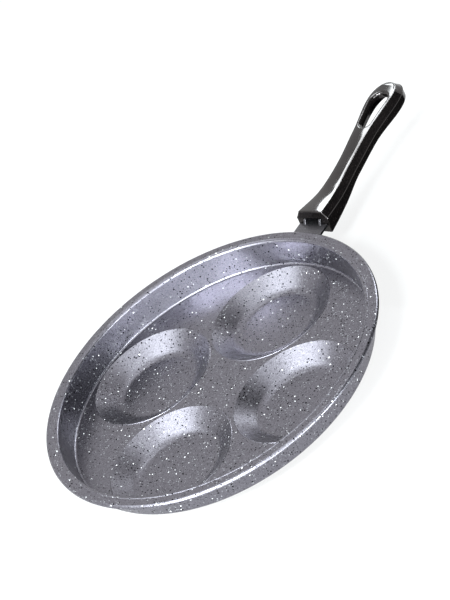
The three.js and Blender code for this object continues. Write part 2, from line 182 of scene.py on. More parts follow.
NUT_TOP = NUT_BOTTOM + NUT_THICKNESS

# Fineness of round shapes
DISH_STEPS = 240
CUP_STEPS = 120
BRACKET_STEPS = 180
TONGUE_HOLE_STEPS = 32
SCREW_STEPS = 48
WALL_BEND_STEPS = 8
CUP_BEND_STEPS = 12
STRAP_BEND_STEPS = 6
FLARE_STEPS = 12
BEAD_STEPS = 12
GRIP_STEPS = 72
TIP_STEPS = 24
GRIP_BEND_STEPS = 5
HOLLOW_BEND_STEPS = 4
HOLE_NEAR_STEPS = 14
HOLE_FAR_STEPS = 18
HOLE_SIDE_STEPS = 8
HOLE_EASE_STEPS = 8


# Shop tools

def pick(piece):
    bpy.ops.object.select_all(action="DESELECT")
    piece.select_set(True)
    bpy.context.view_layer.objects.active = piece


def apply_step(piece, kind, **settings):
    pick(piece)
    step = piece.modifiers.new(kind.lower(), kind)
    for key, value in settings.items():
        setattr(step, key, value)
    bpy.ops.object.modifier_apply(modifier=step.name)


def combine(piece, tool, operation):
    apply_step(piece, "BOOLEAN", object=tool, operation=operation, solver="EXACT")
    bpy.data.objects.remove(tool)


def any_selected(piece):
    piece.update_from_editmode()
    return any(vertex.select for vertex in piece.data.vertices)


def close_up(piece):
    """Merges what meets, fills an open end and turns every face outwards."""
    pick(piece)
    bpy.ops.object.mode_set(mode="EDIT")
    bpy.ops.mesh.select_mode(type="VERT")
    bpy.ops.mesh.select_all(action="SELECT")
    bpy.ops.mesh.remove_doubles(threshold=MERGE_GAP * MM)
    bpy.ops.mesh.select_all(action="DESELECT")
    bpy.ops.mesh.select_non_manifold()
    if any_selected(piece):
        bpy.ops.mesh.edge_face_add()
    bpy.ops.mesh.select_all(action="SELECT")
    bpy.ops.mesh.normals_make_consistent(inside=False)
    bpy.ops.object.mode_set(mode="OBJECT")


def rounded(corners, bends, depth, steps):
    """A path of corners rounded by its bends, moved to its right by depth."""
    corners = [Vector(corner) for corner in corners]
    headings = [(b - a).normalized() for a, b in zip(corners, corners[1:])]
    path = [corners[0] + Vector((headings[0].y, -headings[0].x)) * depth]
    for corner, bend, before, after in zip(corners[1:], bends, headings, headings[1:]):
        turn = math.atan2(before.cross(after), before.dot(after))
        side = math.copysign(1, turn)
        inward = Vector((-before.y, before.x)) * side
        centre = corner - before * (bend * math.tan(abs(turn) / 2)) + inward * bend
        for step in range(steps + 1):
            spoke = Matrix.Rotation(turn * step / steps, 2) @ inward
            path.append(centre - spoke * (bend + side * depth))
    path.append(corners[-1] + Vector((headings[-1].y, -headings[-1].x)) * depth)
    return path


def arc(centre, radius, start, end, steps):
    angles = [math.radians(start + (end - start) * i / steps) for i in range(steps + 1)]
    return [(centre[0] + radius * math.cos(a), centre[1] + radius * math.sin(a)) for a in angles]


def turned(name, outline, steps, x, y=0, closed=True):
    """Draws half a section point by point and spins it about an upright axis."""
    bpy.ops.object.select_all(action="DESELECT")
    start = Vector((x + outline[0][0], y, outline[0][1])) * MM
    bpy.ops.mesh.primitive_plane_add(size=MM, location=start)
    piece = bpy.context.object
    piece.name = name
    bpy.ops.object.transform_apply(location=True)
    bpy.ops.object.mode_set(mode="EDIT")
    bpy.ops.mesh.select_mode(type="VERT")
    bpy.ops.mesh.merge(type="CENTER")
    for here, there in zip(outline, outline[1:]):
        move = ((there[0] - here[0]) * MM, 0, (there[1] - here[1]) * MM)
        bpy.ops.mesh.extrude_region_move(TRANSFORM_OT_translate={"value": move})
    bpy.ops.mesh.select_all(action="SELECT")
    bpy.ops.mesh.spin(steps=steps, angle=math.tau, center=(x * MM, y * MM, 0), axis=(0, 0, 1))
    bpy.ops.object.mode_set(mode="OBJECT")
    if closed:
        close_up(piece)
    return piece


def drum(name, x, y, radius, low, high, steps):
    """A plain upright cylinder."""
    bpy.ops.object.select_all(action="DESELECT")
    place = Vector((x, y, (low + high) / 2)) * MM
    bpy.ops.mesh.primitive_cylinder_add(vertices=steps, radius=radius * MM, depth=(high - low) * MM,
                                        location=place)
    bpy.ops.object.transform_apply(location=True)
    piece = bpy.context.object
    piece.name = name
    return piece


def open_sides(piece):
    """Takes the upright faces off a flat slab, so that its two faces are left."""
    pick(piece)
    bpy.ops.object.mode_set(mode="EDIT")
    bpy.ops.mesh.select_mode(type="FACE")
    bpy.ops.mesh.select_all(action="DESELECT")
    bpy.ops.object.mode_set(mode="OBJECT")
    for face in piece.data.polygons:
        face.select = abs(face.normal.z) < 0.5
    bpy.ops.object.mode_set(mode="EDIT")
    bpy.ops.mesh.delete(type="ONLY_FACE")
    bpy.ops.object.mode_set(mode="OBJECT")


def joined(pieces):
    pick(pieces[0])
    for piece in pieces:
        piece.select_set(True)
    bpy.ops.object.join()
    close_up(pieces[0])
    return pieces[0]


def extruded(name, outline, start, end, along="z"):
    """A flat outline with thickness, upright or lying along Y."""
    bpy.ops.object.select_all(action="DESELECT")
    bpy.ops.mesh.primitive_circle_add(vertices=len(outline), radius=MM, fill_type="NGON")
    piece = bpy.context.object
    piece.name = name
    for vertex, (a, b) in zip(piece.data.vertices, outline):
        vertex.co = Vector((a, b, start) if along == "z" else (a, start, b)) * MM
    move = (end - start) * MM
    bpy.ops.object.mode_set(mode="EDIT")
    bpy.ops.mesh.select_all(action="SELECT")
    way = (0, 0, move) if along == "z" else (0, move, 0)
    bpy.ops.mesh.extrude_region_move(TRANSFORM_OT_translate={"value": way})
    bpy.ops.object.mode_set(mode="OBJECT")
    close_up(piece)
    return piece


def block(name, low, high):
    outline = [(low[0], low[1]), (high[0], low[1]), (high[0], high[1]), (low[0], high[1])]
    return extruded(name, outline, low[2], high[2])


def mirrored_shell(name, rows):
    """A grid laid over rows of places on the +Y side, mirrored and closed."""
    bpy.ops.object.select_all(action="DESELECT")
    bpy.ops.mesh.primitive_grid_add(x_subdivisions=len(rows[0]) - 1, y_subdivisions=len(rows) - 1, size=MM)
    piece = bpy.context.object
    piece.name = name
    places = [place for row in rows for place in row]
    for vertex, place in zip(piece.data.vertices, places, strict=True):
        vertex.co = Vector(place) * MM
    apply_step(piece, "MIRROR", use_axis=(False, True, False), merge_threshold=MERGE_GAP * MM)
    close_up(piece)
    return piece


def drill(piece, low, high, steps):
    """Cuts the screw's hole through a piece."""
    bore = [(0, low), (SCREW_HOLE_RADIUS, low), (SCREW_HOLE_RADIUS, high), (0, high)]
    combine(piece, turned("screw_hole", bore, steps, SCREW_X), "DIFFERENCE")


def ease_edges(piece, width, angle=40):
    apply_step(piece, "BEVEL", width=width * MM, segments=3, limit_method="ANGLE",
               angle_limit=math.radians(angle), miter_outer="MITER_ARC")


def smooth(piece, angle=32):
    pick(piece)
    bpy.ops.object.shade_smooth_by_angle(angle=math.radians(angle))
    apply_step(piece, "WEIGHTED_NORMAL", keep_sharp=True)


def fit(piece, node, finish):
    piece.data.materials.clear()
    piece.data.materials.append(finish)
    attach(piece, "root")
    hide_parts(node)


# Dish with its pressed cups

def wall_path(depth):
    """From the floor up the wall and over the rim to its edge, on one face of the sheet."""
    corners = [(0, FLOOR), (WALL_FOOT_RADIUS, FLOOR), (WALL_TOP_RADIUS, RIM),
               (RIM_RADIUS, RIM), (RIM_RADIUS, RIM - RIM_EDGE_HEIGHT)]
    bends = [WALL_FOOT_BEND, WALL_TOP_BEND, RIM_EDGE_BEND]
    return rounded(corners, bends, depth, WALL_BEND_STEPS)[1:]


def beaded_wall_path():
    """The wall's upper face, with a low round bead on the rim."""
    path = wall_path(0)
    bead = []
    for i in range(BEAD_STEPS + 1):
        share = i / BEAD_STEPS - 0.5
        rise = RIM_BEAD_RISE * math.cos(math.pi * share)
        bead.append(Vector((RIM_BEAD_RADIUS + RIM_BEAD_WIDTH * share, RIM + rise)))
    edge = next(i for i, point in enumerate(path) if point.x > RIM_BEAD_RADIUS)
    return path[:edge] + bead + path[edge:]


def cup_path(depth):
    """From the middle of a cup's base to its mouth, on one face of the sheet."""
    corners = [(0, CUP_BASE), (CUP_BASE_RADIUS, CUP_BASE), (CUP_MOUTH_RADIUS, FLOOR),
               (CUP_MOUTH_RADIUS + CUP_MOUTH_BEND, FLOOR)]
    return rounded(corners, [CUP_BASE_BEND, CUP_MOUTH_BEND], depth, CUP_BEND_STEPS)[:-1]


def lipped_cup_path():
    """The cup's upper face, with its mouth pressed up into a small sharp lip above the floor."""
    slope = (CUP_MOUTH_RADIUS - CUP_BASE_RADIUS) / CUP_DEPTH
    crest = (CUP_MOUTH_RADIUS + LIP_RISE * slope, FLOOR + LIP_RISE)
    mouth = (cup_path(0)[-1].x, FLOOR)
    corners = [(0, CUP_BASE), (CUP_BASE_RADIUS, CUP_BASE), crest, mouth]
    return rounded(corners, [CUP_BASE_BEND, LIP_BEND], 0, CUP_BEND_STEPS)


def floor_sheet(radius, mouths, mouth_radius):
    """The flat of the floor, both faces, with the cups' mouths cut out of it."""
    piece = drum("floor_sheet", PAN_X, 0, radius, FLOOR - SHEET, FLOOR, DISH_STEPS)
    for x, y in mouths:
        hole = drum("mouth", x, y, mouth_radius, FLOOR - 2 * SHEET, FLOOR + SHEET, CUP_STEPS)
        combine(piece, hole, "DIFFERENCE")
    open_sides(piece)
    return piece


def pan():
    upper, lower = beaded_wall_path(), wall_path(SHEET)
    turns = [math.tau * i / CUP_COUNT for i in range(CUP_COUNT)]
    cups = [(PAN_X + CUP_CIRCLE_RADIUS * math.cos(a), CUP_CIRCLE_RADIUS * math.sin(a)) for a in turns]
    skins = [turned("pan", upper + lower[::-1], DISH_STEPS, PAN_X, closed=False)]
    skins.append(floor_sheet(upper[0].x, cups, cup_path(0)[-1].x))
    for path in (lipped_cup_path(), cup_path(SHEET)):
        skins += [turned("cup", path, CUP_STEPS, x, y, closed=False) for x, y in cups]
    piece = joined(skins)
    smooth(piece)
    return piece


# Bracket

def saddle_radius(height):
    """The inside of the saddle, a seat gap off the outside of the wall."""
    slope = (WALL_TOP_RADIUS - WALL_FOOT_RADIUS) / (RIM - FLOOR)
    return WALL_FOOT_RADIUS + (height - FLOOR) * slope + (SHEET + SEAT_GAP) * math.hypot(1, slope)


def front_face(height):
    """Where the handle's leaning front face is at a height."""
    return HANDLE_FRONT - FRONT_LEAN * (RIM + FRONT_TOP - height) / FRONT_DEPTH


def flare(start, bend, end, steps):
    shares = [i / steps for i in range(steps + 1)]
    return [tuple(a * (1 - t) ** 2 + 2 * b * t * (1 - t) + c * t * t for a, b, c in zip(start, bend, end))
            for t in shares]


def bracket_outline():
    """The bracket in plan: saddle, flare, strap and tongue."""
    wall = PAN_X + math.sqrt(saddle_radius(STRAP_TOP) ** 2 - (SADDLE_WIDTH / 2) ** 2)
    shoulder = front_face(STRAP_BOTTOM) - SEAT_GAP
    tongue = HANDLE_FRONT + TONGUE_REACH - TONGUE_CORNER
    half = [(wall - SADDLE_WIDTH, SADDLE_WIDTH / 2)]
    half += flare((wall + STRAP, SADDLE_WIDTH / 2), (wall + FLARE_LENGTH / 2, STRAP_WIDTH / 2),
                  (PAN_X + saddle_radius(STRAP_TOP) + FLARE_LENGTH, STRAP_WIDTH / 2), FLARE_STEPS)
    half += [(shoulder, STRAP_WIDTH / 2), (shoulder, TONGUE_WIDTH / 2)]
    half += arc((tongue, TONGUE_WIDTH / 2 - TONGUE_CORNER), TONGUE_CORNER, 90, 0, STRAP_BEND_STEPS)
    return half + [(x, -y) for x, y in reversed(half)]


def bracket():
    tongue_end = HANDLE_FRONT + TONGUE_REACH
    corners = [(saddle_radius(SADDLE_BOTTOM), SADDLE_BOTTOM), (saddle_radius(STRAP_TOP), STRAP_TOP),
               (tongue_end - PAN_X + STRAP_SPARE, STRAP_TOP)]
    wall_side = rounded(corners, [STRAP_BEND], 0, STRAP_BEND_STEPS)
    outside = rounded(corners, [STRAP_BEND], STRAP, STRAP_BEND_STEPS)
    ring = outside + wall_side[::-1]
    piece = turned("bracket", ring + ring[:1], BRACKET_STEPS, PAN_X)
    window = extruded("window", bracket_outline(), SADDLE_BOTTOM - CUT_OVER, STRAP_TOP + CUT_OVER)
    combine(piece, window, "INTERSECT")
    lead = front_face(STRAP_TOP) - CHANNEL_LEAD
    end = tongue_end - TONGUE_CORNER
    sunk, crest = STRAP_TOP - CHANNEL_SINK, STRAP_TOP + CHANNEL_RISE
    edge = [(lead, sunk), (end, sunk), (end, crest), (lead + CHANNEL_LEAD, crest), (lead, STRAP_TOP)]
    for inner in (TONGUE_WIDTH / 2 - STRAP, -TONGUE_WIDTH / 2):
        combine(piece, extruded("channel_edge", edge, inner, inner + STRAP, along="y"), "UNION")
    drill(piece, STRAP_BOTTOM - CUT_OVER, STRAP_TOP + CUT_OVER, TONGUE_HOLE_STEPS)
    ease_edges(piece, EDGE_EASE)
    smooth(piece)
    return piece


# Handle

def along_grip(x, column):
    """A smooth value along the handle, with no overshoot between its stations."""
    spots = [(station[0], station[column]) for station in GRIP]
    rises = [(b[1] - a[1]) / (b[0] - a[0]) for a, b in zip(spots, spots[1:])]
    slopes = [rises[0]]
    for before, after in zip(rises, rises[1:]):
        slopes.append(2 * before * after / (before + after) if before * after > 0 else 0)
    slopes.append(rises[-1])
    i = max((n for n in range(len(rises)) if spots[n][0] <= x), default=0)
    span = spots[i + 1][0] - spots[i][0]
    t = (x - spots[i][0]) / span
    value = spots[i][1] + (spots[i + 1][1] - spots[i][1]) * t * t * (3 - 2 * t)
    return value + span * (t * (1 - t) ** 2 * slopes[i] + t * t * (t - 1) * slopes[i + 1])


def grip_outline(start, inset):
    """One side of the handle in plan, moved in from its ridge."""
    ease = [start + FRONT_EASE * step for step in (0, 0.1, 0.35, 0.65, 1)]
    straight = PALM_AT - start - FRONT_EASE
    run = [start + FRONT_EASE + straight * i / GRIP_STEPS for i in range(1, GRIP_STEPS)]
    side = [(x, along_grip(x, WIDTH) / 2 - inset) for x in ease + run]
    power = 2 / TIP_SQUARENESS
    for i in range(TIP_STEPS + 1):
        angle = i / TIP_STEPS * math.pi / 2
        across = math.cos(angle) ** power * (PALM_WIDTH / 2 - inset) if i < TIP_STEPS else 0
        side.append((PALM_AT + math.sin(angle) ** power * (TIP_LENGTH - inset), across))
    return side


def front_shrink(x):
    """How far the section draws in where the front face's edge is rounded."""
    share = max(0, 1 - x / FRONT_EASE)
    return FRONT_EASE * (1 - math.sqrt(max(0, 1 - share * share)))


def crown_rise(x, y):
    half = max(along_grip(min(x, PALM_AT), WIDTH) / 2 - TOP_INSET, 1)
    return CROWN * max(0, 1 - (y / half) ** 2)


def grip_row(start, inset, drop, rise=None, share=1):
    """A row of places at one level: below the top by drop, or above the bottom by rise."""
    row = []
    for x, edge in grip_outline(start, inset):
        y = edge * share
        top = along_grip(x, TOP)
        middle = top - along_grip(x, DEPTH) / 2
        height = top - drop if rise is None else top - along_grip(x, DEPTH) + rise
        if share < 1:
            height += crown_rise(x, y) * min(1, edge / CROWN_FADE)
        shrink = front_shrink(x - start) if start == 0 else 0
        y -= shrink * min(1, y / EASE_FADE)
        height -= shrink * max(-1, min(1, (height - middle) / EASE_FADE))
        lean = FRONT_LEAN * (top - height) / FRONT_DEPTH * max(0, 1 - x / LEAN_FADE)
        row.append((HANDLE_FRONT + x - lean, y, RIM + height))
    return row


def grip_blank():
    """The handle before it is cut: crowned top, sloping flank, ridge, lower flank and bottom."""
    flank = [(TOP_INSET + TOP_RIM, 0), (TOP_INSET, 0), (RIDGE_LEDGE, LEDGE_RISE - RIDGE_DROP)]
    upper = rounded(flank, [TOP_EASE], 0, GRIP_BEND_STEPS)
    foot = [FLANK_FOOT, (LOWER_DRAFT, 0), (LOWER_DRAFT + BOTTOM_RIM, 0)]
    lower = rounded(foot, [LOWER_EASE], 0, GRIP_BEND_STEPS)
    ridge = ((0.1, 0), (0, 0.12), (0, 0.3), (0.3, 0.45))
    rows = [grip_row(0, upper[0].x, 0, share=share) for share in (0, 0.3, 0.55, 0.78, 0.93)]
    rows += [grip_row(0, spot.x, -spot.y) for spot in upper]
    rows += [grip_row(0, inset, RIDGE_DROP + drop) for inset, drop in ridge]
    rows += [grip_row(0, spot.x, 0, rise=spot.y) for spot in lower]
    rows += [grip_row(0, lower[-1].x, 0, rise=0, share=share) for share in (0.999, 0.5, 0)]
    return mirrored_shell("grip", rows)


def hollow():
    """What is cut out of the handle's underside."""
    inset = LOWER_DRAFT + HOLLOW_WALL
    roof = [(inset + HOLLOW_FLAT, -HOLLOW_WEB), (inset, -HOLLOW_WEB), (inset - HOLLOW_DRAFT, -HOLLOW_DEPTH)]
    upper = rounded(roof, [HOLLOW_EASE], 0, HOLLOW_BEND_STEPS)[:-1]
    rows = [grip_row(HOLLOW_AT, inset + HOLLOW_FLAT, HOLLOW_WEB, share=share) for share in (0, 0.6)]
    rows += [grip_row(HOLLOW_AT, spot.x, -spot.y) for spot in upper]
    rows += [grip_row(HOLLOW_AT, inset, 0, rise=-CUT_OVER, share=share) for share in (1, 0)]
    return mirrored_shell("hollow", rows)


def hole_outline(ease):
    """One side of the hanging hole: two round ends joined by their tangents."""
    tilt = math.degrees(math.asin((HOLE_FAR_RADIUS - HOLE_NEAR_RADIUS) / (HOLE_FAR_AT - HOLE_NEAR_AT)))
    near = arc((HOLE_NEAR_AT, 0), HOLE_NEAR_RADIUS + ease, 180, 90 + tilt, HOLE_NEAR_STEPS)
    far = arc((HOLE_FAR_AT, 0), HOLE_FAR_RADIUS + ease, 90 + tilt, 0, HOLE_FAR_STEPS)
    shares = [i / HOLE_SIDE_STEPS for i in range(1, HOLE_SIDE_STEPS)]
    run = [tuple(a + (b - a) * t for a, b in zip(near[-1], far[0])) for t in shares]
    return near + run + far


def hole_row(ease, drop, share=1):
    row = []
    for x, y in hole_outline(ease):
        height = along_grip(x, TOP) + crown_rise(x, y) - drop
        row.append((HANDLE_FRONT + x, max(0, y) * share, RIM + height))
    return row


def hanging_hole():
    """What is cut out for the hanging hole, with a rounded edge at the top."""
    rows = [hole_row(HOLE_EASE, -CUT_OVER, share) for share in (0, 1)]
    for i in range(HOLE_EASE_STEPS + 1):
        angle = i / HOLE_EASE_STEPS * math.pi / 2
        rows.append(hole_row(HOLE_EASE * (1 - math.sin(angle)), HOLE_EASE * (1 - math.cos(angle))))
    rows += [hole_row(0, HOLE_CUT, share) for share in (1, 0)]
    return mirrored_shell("hanging_hole", rows)


def handle():
    piece = grip_blank()
    combine(piece, hollow(), "DIFFERENCE")
    combine(piece, hanging_hole(), "DIFFERENCE")
    half = TONGUE_WIDTH / 2 + SOCKET_GAP
    socket = block("socket", (HANDLE_FRONT - SOCKET_LEAD, -half, STRAP_BOTTOM - SOCKET_GAP),
                   (HANDLE_FRONT + TONGUE_REACH + SOCKET_GAP, half, STRAP_TOP + CHANNEL_RISE + SOCKET_GAP))
    combine(piece, socket, "DIFFERENCE")
    top = SEAT + SEAT_WALL + CUT_OVER
    bore = [(0, COUNTERBORE_BOTTOM), (COUNTERBORE_RADIUS, COUNTERBORE_BOTTOM), (COUNTERBORE_RADIUS, SEAT),
            (SCREW_HOLE_RADIUS, SEAT), (SCREW_HOLE_RADIUS, top), (0, top)]
    combine(piece, turned("counterbore", bore, SCREW_STEPS, SCREW_X), "DIFFERENCE")
    smooth(piece)
    return piece


# Fastener

def screw():
    head = [(radius, HEAD_BOTTOM + rise) for radius, rise in HEAD_CROWN]
    head += [(HEAD_RADIUS, HEAD_TOP - TURNED_EDGE), (HEAD_RADIUS - TURNED_EDGE, HEAD_TOP)]
    end = NUT_TOP + SCREW_TAIL
    shank = [(SCREW_RADIUS, HEAD_TOP), (SCREW_RADIUS, NUT_TOP), (SCREW_RADIUS - SCREW_TAIL, end), (0, end)]
    piece = turned("screw", head + shank, SCREW_STEPS, SCREW_X)
    for x, y in ((DRIVE_LENGTH / 2, DRIVE_WIDTH / 2), (DRIVE_WIDTH / 2, DRIVE_LENGTH / 2)):
        drive = block("drive", (SCREW_X - x, -y, HEAD_BOTTOM - CUT_OVER),
                      (SCREW_X + x, y, HEAD_BOTTOM + DRIVE_DEPTH))
        combine(piece, drive, "DIFFERENCE")
    smooth(piece)
    return piece


def washer():
    low, high = WASHER_BOTTOM, WASHER_TOP
    inner = WASHER_RADIUS - TURNED_EDGE
    ring = [(SCREW_HOLE_RADIUS, low), (inner, low), (WASHER_RADIUS, low + TURNED_EDGE),
            (WASHER_RADIUS, high - TURNED_EDGE), (inner, high), (SCREW_HOLE_RADIUS, high)]
    piece = turned("washer", ring + ring[:1], SCREW_STEPS, SCREW_X)
    split = block("split", (SCREW_X, -WASHER_SPLIT / 2, low - CUT_OVER),
                  (SCREW_X + 2 * WASHER_RADIUS, WASHER_SPLIT / 2, high + CUT_OVER))
    combine(piece, split, "DIFFERENCE")
    smooth(piece)
    return piece


def nut():
    half = NUT_WIDTH / 2
    piece = block("nut", (SCREW_X - half, -half, NUT_BOTTOM), (SCREW_X + half, half, NUT_TOP))
    drill(piece, NUT_BOTTOM - CUT_OVER, NUT_TOP + CUT_OVER, SCREW_STEPS)
    ease_edges(piece, EDGE_EASE)
    smooth(piece)
    return piece


# Finishes

SPECK_EDGE = 0.12
BLACK_SPECK = (0.006, 0.006, 0.008, 1)
PALE_FLECK = (0.15, 0.15, 0.16, 1)
WHITE_SPECK = (0.68, 0.68, 0.69, 1)
RESIN = (0.0022, 0.0019, 0.0019, 1)
RESIN_FLECK = (0.0075, 0.006, 0.0058, 1)
RESIN_SHEEN = (1, 0.93, 0.93, 1)
BRIGHT_ZINC = (0.5, 0.51, 0.52, 1)
DULL_ZINC = (0.34, 0.35, 0.37, 1)


def new_finish(name):
    finish = bpy.data.materials.new(name)
    finish.use_nodes = True
    return finish, finish.node_tree.nodes["Principled BSDF"]


def feed(finish, socket, value):
    if isinstance(value, bpy.types.NodeSocket):
        finish.node_tree.links.new(value, socket)
    else:
        socket.default_value = value


def add_node(finish, kind, feeds=None, **settings):
    """A new node with its sockets fed by numbers or by other nodes' outputs."""
    made = finish.node_tree.nodes.new("ShaderNode" + kind)
    for key, value in settings.items():
        setattr(made, key, value)
    for key, value in (feeds or {}).items():
        feed(finish, made.inputs[key], value)
    return made


def place_on(finish):
    return add_node(finish, "TexCoord").outputs["Object"]


def grain(finish, place, size, detail=2.0, roughness=0.5):
    """Cloudy noise with features about this many millimetres across."""
    made = add_node(finish, "TexNoise", {"Vector": place, "Scale": 1 / (size * MM), "Detail": detail,
                                         "Roughness": roughness})
    return made.outputs["Fac"]


def between(finish, value, low, high, out_low, out_high):
    made = add_node(finish, "MapRange", {"Value": value, "From Min": low, "From Max": high,
                                         "To Min": out_low, "To Max": out_high})
    return made.outputs["Result"]


def blend(finish, share, first, second):
    made = add_node(finish, "Mix", data_type="RGBA")
    feed(finish, made.inputs["Factor"], share)
    feed(finish, made.inputs[6], first)
    feed(finish, made.inputs[7], second)
    return made.outputs[2]


def math_of(finish, operation, first, second, clamp=False):
    made = add_node(finish, "Math", {0: first, 1: second}, operation=operation, use_clamp=clamp)
    return made.outputs[0]


def bumped(finish, shader, height, strength, rise):
    """Relief of a rise in millimetres."""
    bump = add_node(finish, "Bump", {"Height": height, "Strength": strength, "Distance": rise * MM})
    feed(finish, shader.inputs["Normal"], bump.outputs[0])


def specks(finish, place, spacing, share, radius, seed):
    """1 inside scattered round specks: cells of this spacing, a share of which hold one."""
    moved = add_node(finish, "Mapping", {"Vector": place, "Location": (seed, seed * 0.7, seed * 0.3)})
    cells = add_node(finish, "TexVoronoi", {"Vector": moved.outputs[0], "Scale": 1 / (spacing * MM)})
    dice = add_node(finish, "SeparateColor", {"Color": cells.outputs["Color"]})
    size = between(finish, dice.outputs[0], 1 - share, 1, 0, radius / spacing)
    inside = math_of(finish, "SUBTRACT", size, cells.outputs["Distance"])
    return math_of(finish, "MULTIPLY", inside, spacing / SPECK_EDGE, clamp=True)


def stone_coat(name, tone, bold):
    """Satin metallic grey coat: fine dark grain under black specks, light flecks and white specks."""
    finish, shader = new_finish(name)
    place = place_on(finish)
    fine = grain(finish, place, 0.9, 2, 0.6)
    broad = grain(finish, place, 11)
    dark, shaded, full = [tuple(c * k for c in tone) + (1,) for k in (0.6, 0.88, 1)]
    colour = blend(finish, between(finish, fine, 0.34, 0.6, 0, 1), dark, full)
    colour = blend(finish, between(finish, broad, 0.35, 0.65, 0, 0.3), colour, shaded)
    coarse = specks(finish, place, 2.2, 0.75, 0.76 * bold, 0.31)
    small = specks(finish, place, 1.5, 0.8, 0.5 * bold, 0.57)
    colour = blend(finish, math_of(finish, "MAXIMUM", coarse, small), colour, BLACK_SPECK)
    flecks = specks(finish, place, 1.7, 0.85, 0.57 * bold, 0.43)
    colour = blend(finish, flecks, colour, PALE_FLECK)
    white = specks(finish, place, 3.7, 0.75, 0.62 * bold, 0.79)
    colour = blend(finish, white, colour, WHITE_SPECK)
    feed(finish, shader.inputs["Base Color"], colour)
    pale = math_of(finish, "MAXIMUM", flecks, white)
    feed(finish, shader.inputs["Metallic"], between(finish, pale, 0, 1, 1, 0))
    feed(finish, shader.inputs["Roughness"], between(finish, fine, 0.3, 0.7, 0.29, 0.33))
    height = math_of(finish, "ADD", math_of(finish, "MULTIPLY", fine, 0.5), white)
    bumped(finish, shader, height, 0.12, 0.06)
    return finish


def phenolic():
    """Glossy black moulded resin with faint brown flecks and a slightly uneven gloss."""
    finish, shader = new_finish("black_phenolic")
    place = place_on(finish)
    flecks = grain(finish, place, 0.9, 3)
    cloud = grain(finish, place, 14)
    colour = blend(finish, between(finish, flecks, 0.45, 0.75, 0, 1), RESIN, RESIN_FLECK)
    feed(finish, shader.inputs["Base Color"], colour)
    shader.inputs["Specular Tint"].default_value = RESIN_SHEEN
    feed(finish, shader.inputs["Roughness"], between(finish, cloud, 0.3, 0.7, 0.07, 0.12))
    bumped(finish, shader, cloud, 0.12, 0.3)
    return finish


def zinc_steel():
    """Zinc-plated steel with fine scratches and a dull bloom."""
    finish, shader = new_finish("plated_zinc")
    place = place_on(finish)
    bloom = grain(finish, place, 2.2, 4)
    stretched = add_node(finish, "Mapping", {"Vector": place, "Scale": (1, 14, 14)})
    scratches = grain(finish, stretched.outputs[0], 2.5, 3)
    colour = blend(finish, between(finish, bloom, 0.35, 0.7, 0, 1), BRIGHT_ZINC, DULL_ZINC)
    feed(finish, shader.inputs["Base Color"], colour)
    shader.inputs["Metallic"].default_value = 1
    feed(finish, shader.inputs["Roughness"], between(finish, scratches, 0.3, 0.7, 0.36, 0.52))
    bumped(finish, shader, scratches, 0.2, 0.05)
    return finish


# Studio, in metres and watts

UP = Vector((0, 0, 1))
PAN_CENTRE = Vector((PAN_X, 0, RIM)) * MM
GRIP_TOP = Vector((HANDLE_FRONT + 70, 0, RIM + 5)) * MM

# Camera fitted to the photograph
HEADING, DIP, ROLL = (math.radians(angle) for angle in (35.117, 33.02, -33.86))
EYE = PAN_CENTRE + Vector((-697.80, -1051.91, 854.75)) * MM
SENSOR = 36
LENS_IN_PIXELS = 2202.757
PICTURE_HEIGHT = 600
AWAY = Vector((math.sin(HEADING), math.cos(HEADING), 0))
RIGHT = Vector((math.cos(HEADING), -math.sin(HEADING), 0))

# Lamps: bearing, rise and reach, then size and power
LAMP_COLOUR = (0.91, 0.98, 1)
PAN_LAMPS = {
    "left_bank": (235, 37, 1.5, (0.5, 0.45), 52),
    "front_key": (208, 48, 1.5, (0.35, 0.3), 31),
    "front_right": (160, 46, 1.5, (0.6, 0.3), 5),
    "low_front": (200, 12, 1.4, (2.2, 0.4), 38),
    "low_right": (142, 14, 1.4, (0.8, 0.4), 23),
    "left_fill": (278, 58, 1.5, (0.8, 0.8), 7),
    "overhead": (180, 84, 1.5, (1.2, 0.8), 5),
    "far_top": (10, 64, 1.5, (0.7, 0.12), 1.3),
    "far_right": (58, 15, 1.5, (0.5, 0.3), 6),
}
GRIP_LAMPS = {
    "grip_panel": (39, 34, 2, (0.33, 0.8), 14.5),
    "grip_top_panel": (47, 53, 0.6, (0.1, 0.19), 1.2),
}
SIDE_CARD = GRIP_TOP + Vector((0.28, -0.525, 0.315))
SIDE_CARD_SIZE = 0.9
LOW_CARD = Vector((HANDLE_FRONT + 75, -150, 1)) * MM
LOW_CARD_SIZE = 0.26
CARD_BLACK = (0.004, 0.004, 0.004, 1)

GROUND_SIZE = 12
GROUND_HEIGHT = -0.0003
GROUND_WHITE = (0.7, 0.7, 0.7, 1)


def camera():
    data = bpy.data.cameras.new("camera")
    data.sensor_width = SENSOR
    data.lens = LENS_IN_PIXELS / PICTURE_HEIGHT * SENSOR
    eye = bpy.data.objects.new("camera", data)
    heading = Matrix.Rotation(-HEADING, 4, "Z")
    dip = Matrix.Rotation(math.pi / 2 - DIP, 4, "X")
    roll = Matrix.Rotation(ROLL, 4, "Z")
    eye.matrix_world = Matrix.Translation(EYE) @ heading @ dip @ roll
    bpy.context.scene.collection.objects.link(eye)
    bpy.context.scene.camera = eye


def seen_or_mirrored(tree):
    """1 for rays of the camera, of gloss and of clear materials, 0 for soft bounced light."""
    path = tree.nodes.new("ShaderNodeLightPath")
    result = path.outputs["Is Camera Ray"]
    for ray in ("Is Glossy Ray", "Is Transmission Ray"):
        step = tree.nodes.new("ShaderNodeMath")
        step.operation = "MAXIMUM"
        tree.links.new(result, step.inputs[0])
        tree.links.new(path.outputs[ray], step.inputs[1])
        result = step.outputs[0]
    return result


